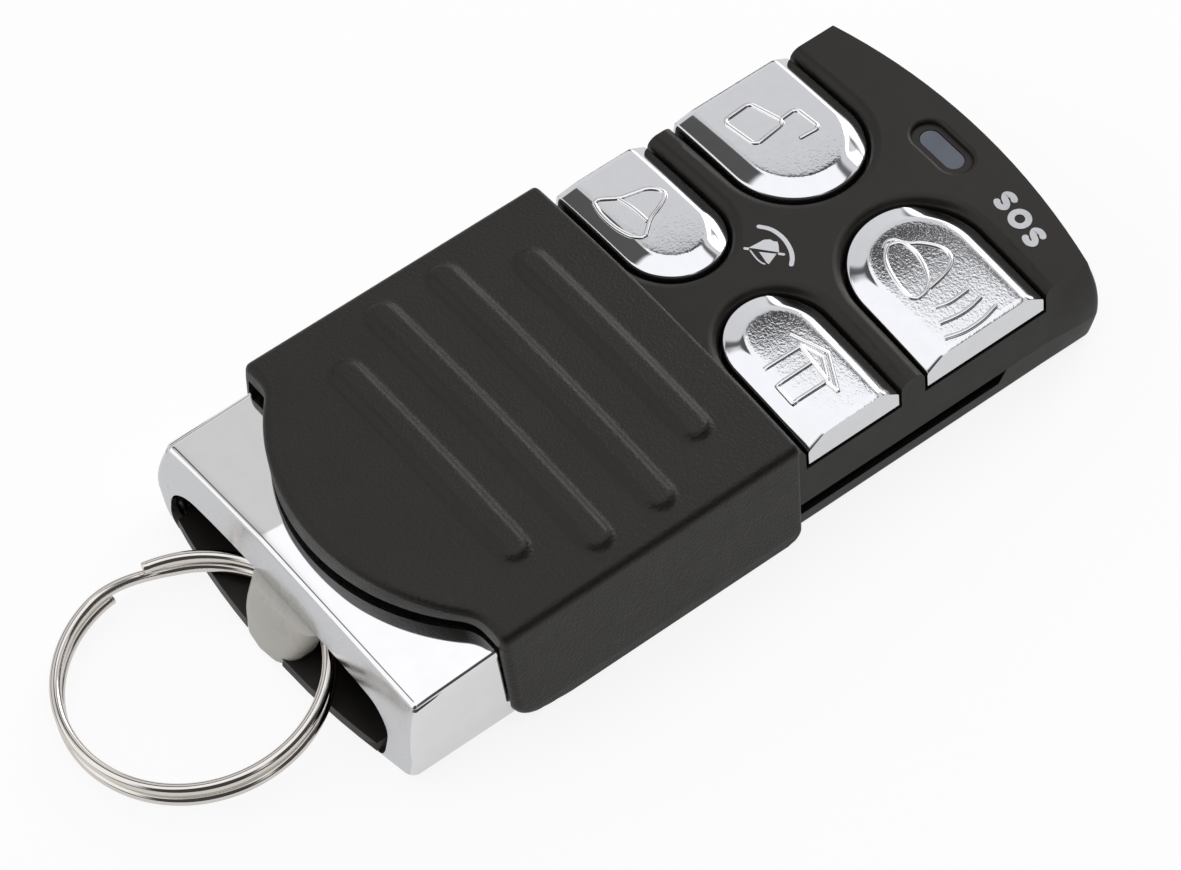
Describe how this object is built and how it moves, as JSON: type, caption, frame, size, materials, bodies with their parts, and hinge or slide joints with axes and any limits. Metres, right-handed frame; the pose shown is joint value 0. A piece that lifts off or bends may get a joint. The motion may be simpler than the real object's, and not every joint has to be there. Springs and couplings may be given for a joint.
{
  "type": "alarm key fob",
  "caption": "Pocket alarm remote with chromed buttons under a sliding grip cover, a status lamp, a chrome end cap and a split key ring.",
  "frame": {"origin": "on the flat back, under the middle of the body", "axes": "+Y along the fob to the end with the lamp, +Z out of the button side, +X across it"},
  "size_m": [0.0312, 0.0804, 0.0112],
  "materials": {
    "body_plastic": "satin black moulded shell",
    "cover_plastic": "matt black with a fine grain",
    "chrome_trim": "bright chrome plating on plastic",
    "button_chrome": "bright bevels round a pearled chrome top",
    "post_plastic": "smooth ivory",
    "ring_nickel": "polished nickel-plated spring wire",
    "window_clear": "smoky clear light pipe",
    "lamp_lens": "small surface-mounted lamp",
    "board_laminate": "green solder mask",
    "chip_resin": "black moulding resin",
    "plunger_plastic": "natural nylon",
    "cell_steel": "fine brushed steel",
    "contact_metal": "plated spring strip",
    "antenna_metal": "tinned copper wire",
    "screw_steel": "dark zinc plating"
  },
  "bodies": {
    "housing": {"lower_housing": "body_plastic", "upper_housing": "body_plastic", "end_cap": "chrome_trim", "ring_post": "post_plastic", "circuit_board": "board_laminate", "disarm_switch": "chip_resin", "sos_switch": "chip_resin", "arm_switch": "chip_resin", "home_switch": "chip_resin", "coin_cell": "cell_steel", "positive_contact": "contact_metal", "negative_contact": "contact_metal", "status_lamp": "lamp_lens", "lamp_window": "window_clear", "controller_chip": "chip_resin", "radio_chip": "chip_resin", "timing_crystal": "cell_steel", "chip_capacitors": "chip_resin", "antenna_loop": "antenna_metal", "case_screws": "screw_steel"},
    "cover": {"slide_cover": "cover_plastic"},
    "disarm_key": {"disarm_button": "button_chrome", "disarm_plunger": "plunger_plastic"},
    "sos_key": {"sos_button": "button_chrome", "sos_plunger": "plunger_plastic"},
    "arm_key": {"arm_button": "button_chrome", "arm_plunger": "plunger_plastic"},
    "home_key": {"home_button": "button_chrome", "home_plunger": "plunger_plastic"},
    "ring": {"split_ring": "ring_nickel"}
  },
  "joints": [
    {"name": "cover_slide", "type": "slide", "parent": "housing", "child": "cover", "axis": [0, 1, 0], "range_m": [0, 0.024]},
    {"name": "disarm_press", "type": "slide", "parent": "housing", "child": "disarm_key", "axis": [0, 0, -1], "range_m": [0, 0.0003], "stiffness_N_per_m": 3000},
    {"name": "sos_press", "type": "slide", "parent": "housing", "child": "sos_key", "axis": [0, 0, -1], "range_m": [0, 0.0003], "stiffness_N_per_m": 3000},
    {"name": "arm_press", "type": "slide", "parent": "housing", "child": "arm_key", "axis": [0, 0, -1], "range_m": [0, 0.0003], "stiffness_N_per_m": 3000},
    {"name": "home_press", "type": "slide", "parent": "housing", "child": "home_key", "axis": [0, 0, -1], "range_m": [0, 0.0003], "stiffness_N_per_m": 3000},
    {"name": "ring_swing", "type": "hinge", "parent": "housing", "child": "ring", "pos_m": [0, -0.0287, 0.0029], "axis": [-1, 0, 0], "range_deg": [-3, 8]}
  ]
}
